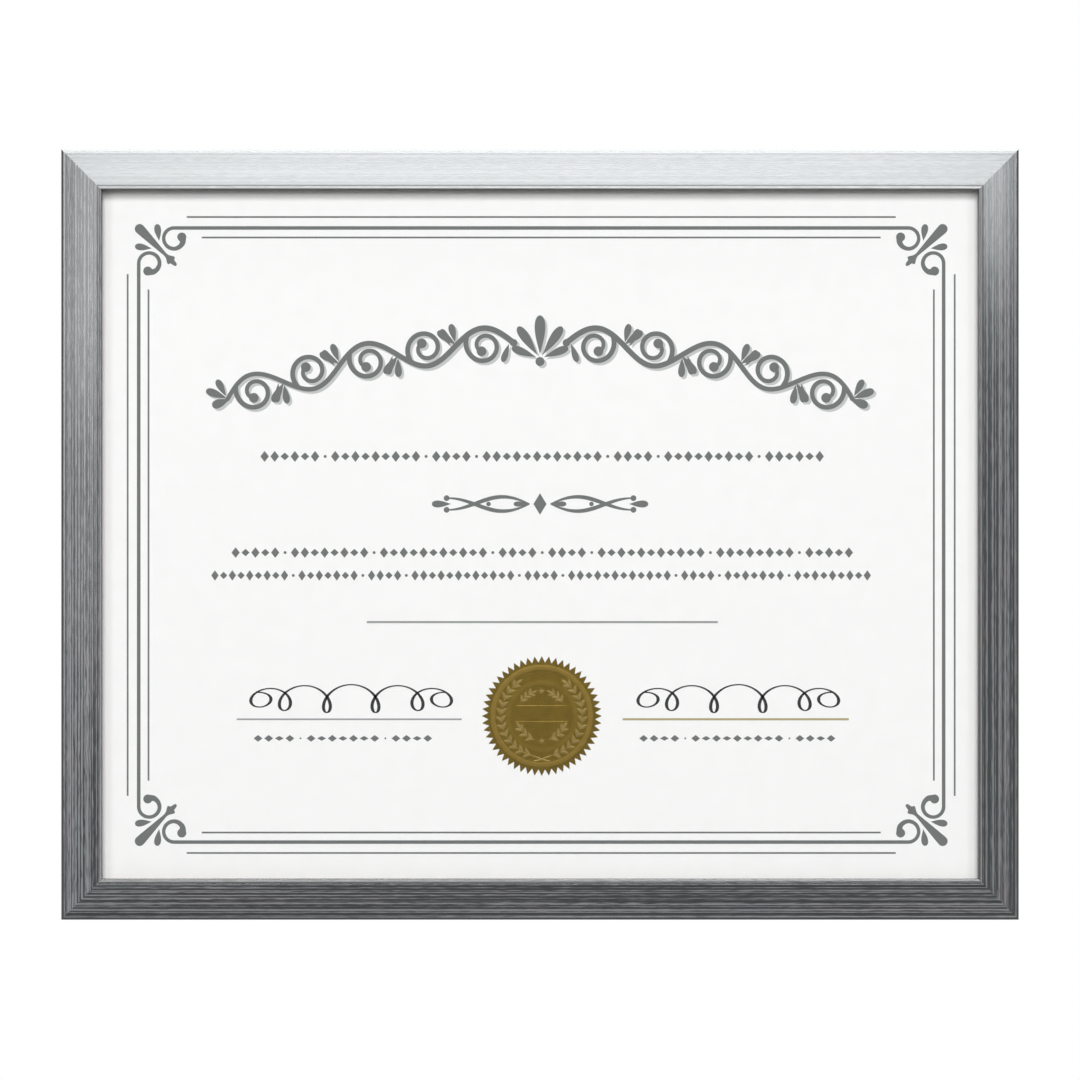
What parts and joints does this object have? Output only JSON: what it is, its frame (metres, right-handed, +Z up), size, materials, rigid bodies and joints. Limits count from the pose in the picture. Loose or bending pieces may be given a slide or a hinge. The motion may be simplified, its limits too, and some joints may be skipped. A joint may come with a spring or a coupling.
{
  "type": "certificate frame",
  "caption": "Landscape certificate frame with mitred beaded rails, pane, printed sheet with foil seal, backing board on turn buttons, sawtooth hangers and a folding easel leg.",
  "frame": {"origin": "seat of the wall nail in the middle notch of the top hanger, on the plane of the wall", "axes": "+X to the viewer's right along the long rails, +Y from the front into the wall, +Z up as hung"},
  "size_m": [0.381, 0.018, 0.3066],
  "materials": {
    "moulding": "grey wood-grain foil, satin",
    "pane": "clear",
    "certificate": "smooth white card",
    "foil": "embossed gold foil",
    "card": "plain card",
    "hardboard": "pressed hardboard",
    "covered_board": "board in black paper",
    "plated_steel": "yellow zinc",
    "steel": "bright zinc",
    "aluminium": "plain"
  },
  "bodies": {
    "frame": {"rail_top": "moulding", "rail_bottom": "moulding", "rail_left": "moulding", "rail_right": "moulding", "corner_v_nails": "steel", "pane": "pane", "certificate": "certificate", "foil_seal": "foil", "filler_card": "card", "backing_board": "hardboard", "turn_button_screws": "steel", "hanger_top": "plated_steel", "hanger_side": "plated_steel", "hanger_nails": "steel", "hinge_fixed_leaf": "steel", "hinge_pin": "steel", "fixed_leaf_rivets": "aluminium"},
    "easel": {"easel_leg": "covered_board", "hinge_moving_leaf": "steel", "moving_leaf_rivets": "aluminium"},
    "turn_button_top_left": {"turn_button_top_left": "plated_steel"},
    "turn_button_top_right": {"turn_button_top_right": "plated_steel"},
    "turn_button_bottom_left": {"turn_button_bottom_left": "plated_steel"},
    "turn_button_bottom_right": {"turn_button_bottom_right": "plated_steel"},
    "turn_button_left_upper": {"turn_button_left_upper": "plated_steel"},
    "turn_button_left_lower": {"turn_button_left_lower": "plated_steel"},
    "turn_button_right_upper": {"turn_button_right_upper": "plated_steel"},
    "turn_button_right_lower": {"turn_button_right_lower": "plated_steel"}
  },
  "joints": [
    {"name": "easel_hinge", "type": "hinge", "parent": "frame", "child": "easel", "pos_m": [0, -0.00545, -0.1163], "axis": [1, 0, 0], "range_deg": [0, 25]},
    {"name": "turn_button_top_left_pivot", "type": "hinge", "parent": "frame", "child": "turn_button_top_left", "pos_m": [-0.105, -0.00755, 0.00235], "axis": [0, 1, 0], "range_deg": [-90, 90]},
    {"name": "turn_button_top_right_pivot", "type": "hinge", "parent": "frame", "child": "turn_button_top_right", "pos_m": [0.105, -0.00755, 0.00235], "axis": [0, 1, 0], "range_deg": [-90, 90]},
    {"name": "turn_button_bottom_left_pivot", "type": "hinge", "parent": "frame", "child": "turn_button_bottom_left", "pos_m": [-0.105, -0.00755, -0.28835], "axis": [0, 1, 0], "range_deg": [-90, 90]},
    {"name": "turn_button_bottom_right_pivot", "type": "hinge", "parent": "frame", "child": "turn_button_bottom_right", "pos_m": [0.105, -0.00755, -0.28835], "axis": [0, 1, 0], "range_deg": [-90, 90]},
    {"name": "turn_button_left_upper_pivot", "type": "hinge", "parent": "frame", "child": "turn_button_left_upper", "pos_m": [-0.18255, -0.00755, -0.068], "axis": [0, 1, 0], "range_deg": [-90, 90]},
    {"name": "turn_button_left_lower_pivot", "type": "hinge", "parent": "frame", "child": "turn_button_left_lower", "pos_m": [-0.18255, -0.00755, -0.218], "axis": [0, 1, 0], "range_deg": [-90, 90]},
    {"name": "turn_button_right_upper_pivot", "type": "hinge", "parent": "frame", "child": "turn_button_right_upper", "pos_m": [0.18255, -0.00755, -0.068], "axis": [0, 1, 0], "range_deg": [-90, 90]},
    {"name": "turn_button_right_lower_pivot", "type": "hinge", "parent": "frame", "child": "turn_button_right_lower", "pos_m": [0.18255, -0.00755, -0.218], "axis": [0, 1, 0], "range_deg": [-90, 90]}
  ]
}
